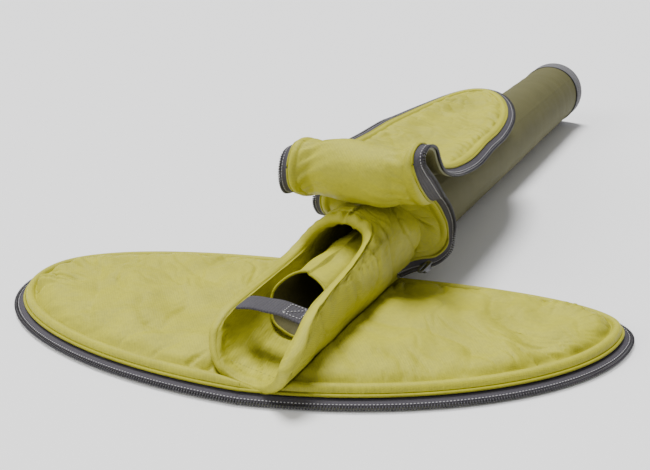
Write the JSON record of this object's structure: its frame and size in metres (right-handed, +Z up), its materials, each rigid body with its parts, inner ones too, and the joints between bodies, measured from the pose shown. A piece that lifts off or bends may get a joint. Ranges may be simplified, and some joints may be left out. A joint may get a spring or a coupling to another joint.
{
  "type": "rod case",
  "caption": "Rigid fabric-covered tube for a sectioned fishing rod with a padded grip hood, an oval zip pouch lying open and a long closing flap folded back along the tube",
  "frame": {"origin": "on the floor, on the tube's axis, under the middle of the grip hood, at the flat underside of the base strip", "axes": "+Y along the tube towards its closed end, +X to the right looking along +Y, +Z up"},
  "size_m": [0.452, 0.78, 0.1312],
  "materials": {
    "lime_nylon": "satin woven nylon lining",
    "olive_nylon": "matte woven nylon shell",
    "brown_nylon": "matte woven nylon",
    "foam": "closed-cell foam, unseen",
    "zip_tape": "ribbed polyester tape",
    "zip_teeth": "nylon coil",
    "tube_plastic": "extruded plastic",
    "trim": "dark cord",
    "slider_metal": "dark painted zinc"
  },
  "bodies": {
    "case": {"tube_cover": "olive_nylon", "tube_liner": "tube_plastic", "tube_lining": "lime_nylon", "end_plug": "tube_plastic", "end_pad": "foam", "end_cap": "olive_nylon", "end_band": "zip_tape", "end_piping": "trim", "hood_cover": "lime_nylon", "hood_foam": "foam", "hood_lining": "lime_nylon", "hood_binding": "lime_nylon", "rod_sock": "lime_nylon", "sock_lining": "brown_nylon", "sock_hem": "lime_nylon", "base_shell": "olive_nylon", "base_foam": "foam", "base_lining": "lime_nylon", "base_zip_tape": "zip_tape", "base_zip_teeth": "zip_teeth", "neck_left_gusset": "lime_nylon", "neck_right_gusset": "lime_nylon", "neck_left_zip": "zip_teeth", "neck_right_zip": "zip_teeth"},
    "strap": {"grip_strap": "zip_tape"},
    "left_wing": {"left_shell": "olive_nylon", "left_foam": "foam", "left_lining": "lime_nylon", "left_zip_tape": "zip_tape", "left_zip_teeth": "zip_teeth"},
    "right_wing": {"right_shell": "olive_nylon", "right_foam": "foam", "right_lining": "lime_nylon", "right_zip_tape": "zip_tape", "right_zip_teeth": "zip_teeth"},
    "flap_fold": {"flap_fold_lining": "lime_nylon", "flap_fold_shell": "olive_nylon", "flap_fold_left_tape": "zip_tape", "flap_fold_right_tape": "zip_tape", "flap_fold_left_teeth": "zip_teeth", "flap_fold_right_teeth": "zip_teeth"},
    "flap_middle": {"flap_middle_lining": "lime_nylon", "flap_middle_foam": "foam", "flap_middle_shell": "olive_nylon", "flap_middle_left_tape": "zip_tape", "flap_middle_right_tape": "zip_tape", "flap_middle_left_teeth": "zip_teeth", "flap_middle_right_teeth": "zip_teeth"},
    "flap_tip": {"flap_tip_lining": "lime_nylon", "flap_tip_foam": "foam", "flap_tip_shell": "olive_nylon", "flap_tip_tape": "zip_tape", "flap_tip_teeth": "zip_teeth"},
    "left_zip_slider": {"left_slider": "slider_metal"},
    "right_zip_slider": {"right_slider": "slider_metal"},
    "left_zip_pull": {"left_pull": "slider_metal"},
    "right_zip_pull": {"right_pull": "slider_metal"}
  },
  "joints": [
    {"name": "left_wing_fold", "type": "hinge", "parent": "case", "child": "left_wing", "pos_m": [-0.064, 0, 0.0202], "axis": [0, 1, 0], "range_deg": [0, 88]},
    {"name": "right_wing_fold", "type": "hinge", "parent": "case", "child": "right_wing", "pos_m": [0.064, 0, 0.0202], "axis": [0, -1, 0], "range_deg": [0, 88]},
    {"name": "neck_crease", "type": "hinge", "parent": "case", "child": "flap_fold", "pos_m": [0, 0.092, 0.082], "axis": [1, 0, 0], "range_deg": [-20, 0]},
    {"name": "flap_over", "type": "hinge", "parent": "flap_fold", "child": "flap_middle", "pos_m": [0, 0.075, 0.132], "axis": [1, 0, 0], "range_deg": [0, 192]},
    {"name": "flap_bend", "type": "hinge", "parent": "flap_middle", "child": "flap_tip", "pos_m": [0, 0.26, 0.088], "axis": [1, 0, 0], "range_deg": [0, 95]},
    {"name": "strap_peel", "type": "hinge", "parent": "case", "child": "strap", "pos_m": [0.0255, -0.047, 0.0432], "axis": [0, 1, 0], "range_deg": [0, 50]},
    {"name": "left_slider_run", "type": "slide", "parent": "case", "child": "left_zip_slider", "axis": [-0.2331, 0.9615, -0.1457], "range_m": [0, 0.01]},
    {"name": "right_slider_run", "type": "slide", "parent": "case", "child": "right_zip_slider", "axis": [0.2331, 0.9615, -0.1457], "range_m": [0, 0.01]},
    {"name": "left_pull_flip", "type": "hinge", "parent": "left_zip_slider", "child": "left_zip_pull", "pos_m": [-0.047, 0.1085, 0.0257], "axis": [-1, 0, 0], "range_deg": [0, 90]},
    {"name": "right_pull_flip", "type": "hinge", "parent": "right_zip_slider", "child": "right_zip_pull", "pos_m": [0.047, 0.1085, 0.0257], "axis": [-1, 0, 0], "range_deg": [0, 90]}
  ],
  "couplings": [
    {"joint": "neck_crease", "follows": "flap_over", "ratio": -0.1042}
  ]
}
